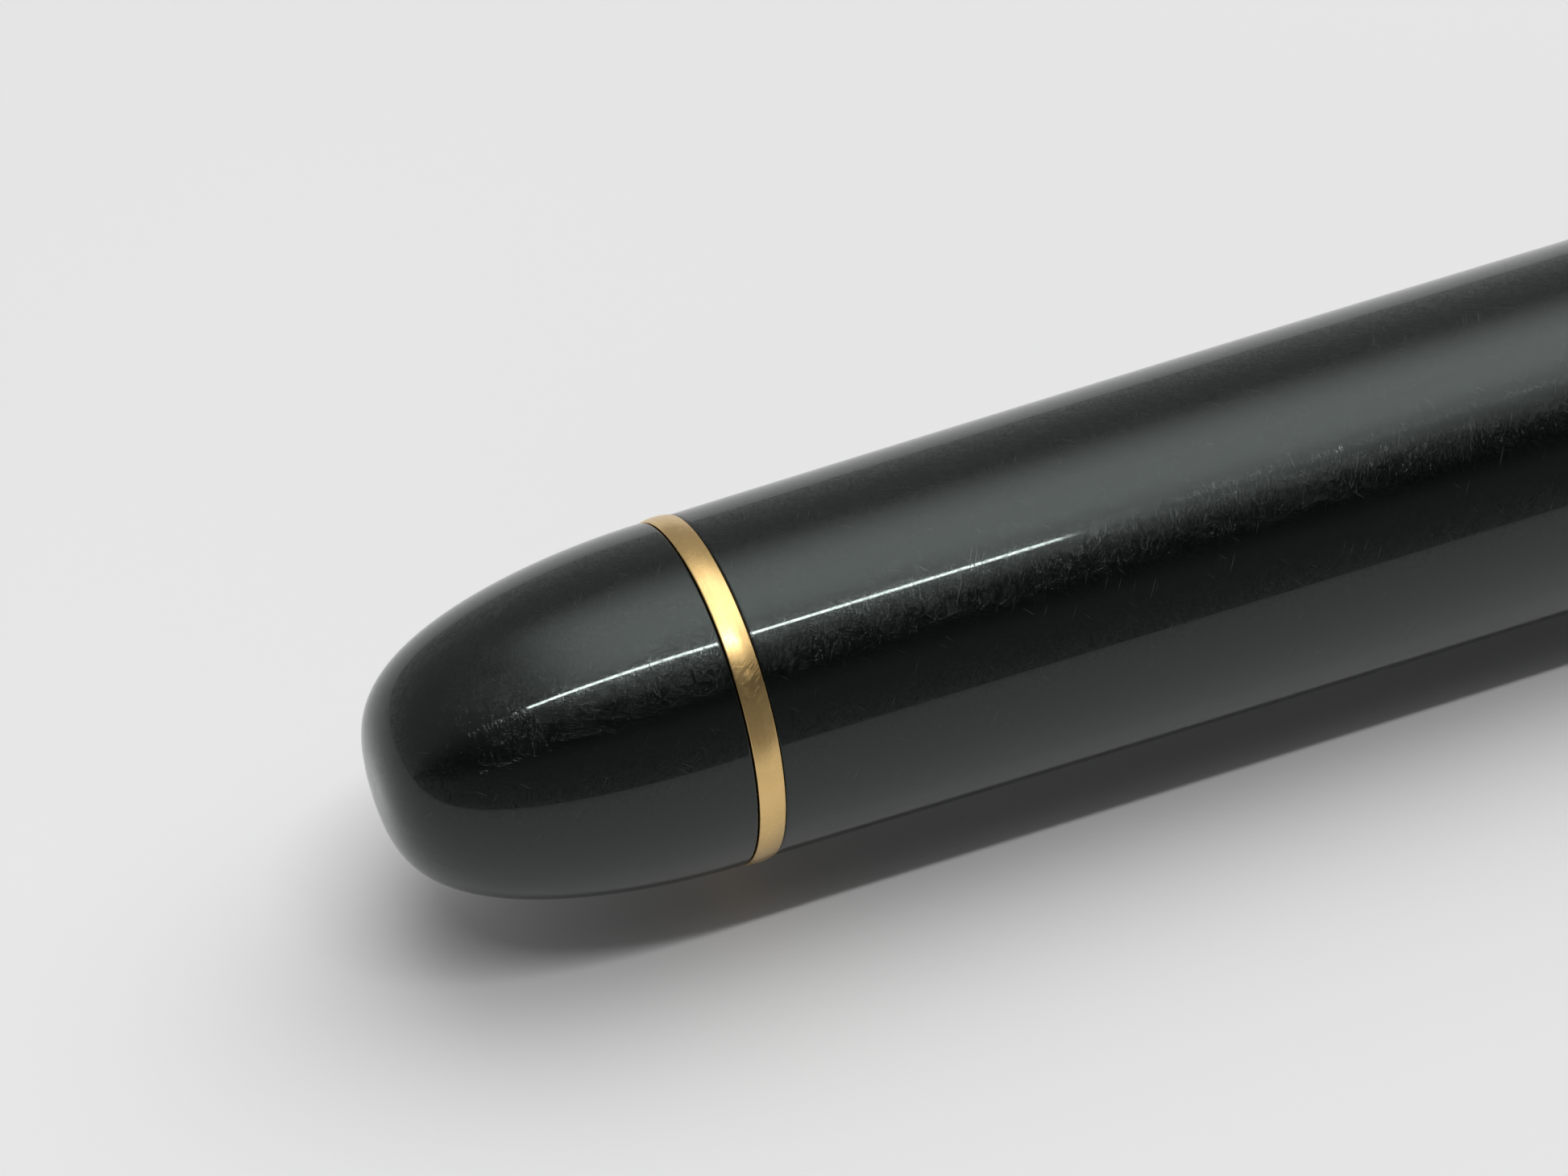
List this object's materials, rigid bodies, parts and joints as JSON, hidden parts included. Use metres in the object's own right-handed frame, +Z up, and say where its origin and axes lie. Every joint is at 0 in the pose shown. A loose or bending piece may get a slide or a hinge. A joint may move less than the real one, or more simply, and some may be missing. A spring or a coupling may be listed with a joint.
{
  "type": "capped rollerball pen",
  "caption": "Cigar-shaped capped rollerball pen with a sprung clip, a screw-in grip section and a replaceable refill, for writing by hand.",
  "frame": {"origin": "The point of the table under the middle of the cap's broad band, on the flat facet that the band rests on.", "axes": "+X along the pen's axis, from the domed tail of the barrel to the crown of the cap. +Z up, away from the table. The clip is turned to the -Y side and down, so that its drop reaches the table."},
  "size_m": [0.1458, 0.0153, 0.0138],
  "materials": {
    "black_resin": "polished",
    "gold_plate": "gold plated and polished",
    "brass": "turned",
    "spring_steel": "drawn wire and strip",
    "tip_metal": "turned and polished",
    "refill_metal": "satin",
    "white_plastic": "moulded",
    "black_plastic": "moulded",
    "ink_fibre": "ink-soaked fibre"
  },
  "bodies": {
    "barrel": {"barrel": "black_resin", "barrel_bush": "brass", "tail_ring": "gold_plate", "tail_dome": "black_resin", "tail_spring": "spring_steel"},
    "refill": {"refill_tube": "refill_metal", "refill_plug": "black_plastic", "ink_reservoir": "ink_fibre", "feed_rod": "ink_fibre", "refill_nose": "white_plastic", "writing_tip": "tip_metal"},
    "ball": {"writing_ball": "tip_metal"},
    "trim": {"trim_ring": "gold_plate"},
    "section": {"grip_section": "black_resin", "thread_collar": "brass", "nose_cone": "gold_plate"},
    "liner": {"inner_cap": "black_plastic"},
    "cap": {"cap_shell": "black_resin", "cap_lip": "black_resin", "narrow_band_lower": "gold_plate", "band_spacer_lower": "black_resin", "broad_band": "gold_plate", "band_spacer_upper": "black_resin", "narrow_band_upper": "gold_plate", "snap_ring": "spring_steel", "crown_stud": "brass", "clip_ring": "gold_plate", "cap_crown": "black_resin"},
    "clip": {"clip_arm": "gold_plate"}
  },
  "joints": [
    {"name": "section_draw", "type": "slide", "parent": "barrel", "child": "refill", "axis": [1, 0, 0], "range_m": [0, 0.075]},
    {"name": "ball_roll", "type": "hinge", "parent": "refill", "child": "ball", "pos_m": [0.0417, 0, 0.00692], "axis": [0, 1, 0], "continuous": true},
    {"name": "thread_travel", "type": "slide", "parent": "refill", "child": "trim", "axis": [1, 0, 0], "range_m": [0, 0.00525]},
    {"name": "thread_turn", "type": "hinge", "parent": "trim", "child": "section", "pos_m": [0, 0, 0.00692], "axis": [1, 0, 0], "range_deg": [0, 2521]},
    {"name": "cap_pull", "type": "slide", "parent": "section", "child": "liner", "axis": [1, 0, 0], "range_m": [0, 0.055]},
    {"name": "cap_turn", "type": "hinge", "parent": "liner", "child": "cap", "pos_m": [0, 0, 0.00692], "axis": [1, 0, 0], "continuous": true},
    {"name": "clip_flex", "type": "hinge", "parent": "cap", "child": "clip", "pos_m": [0.05125, -0.00524, 0.00292], "axis": [0, -0.6066, 0.795], "range_deg": [0, 4], "stiffness_Nm_per_rad": 1.5}
  ],
  "couplings": [
    {"joint": "thread_turn", "follows": "thread_travel", "rad_per_m": 8377.6}
  ]
}
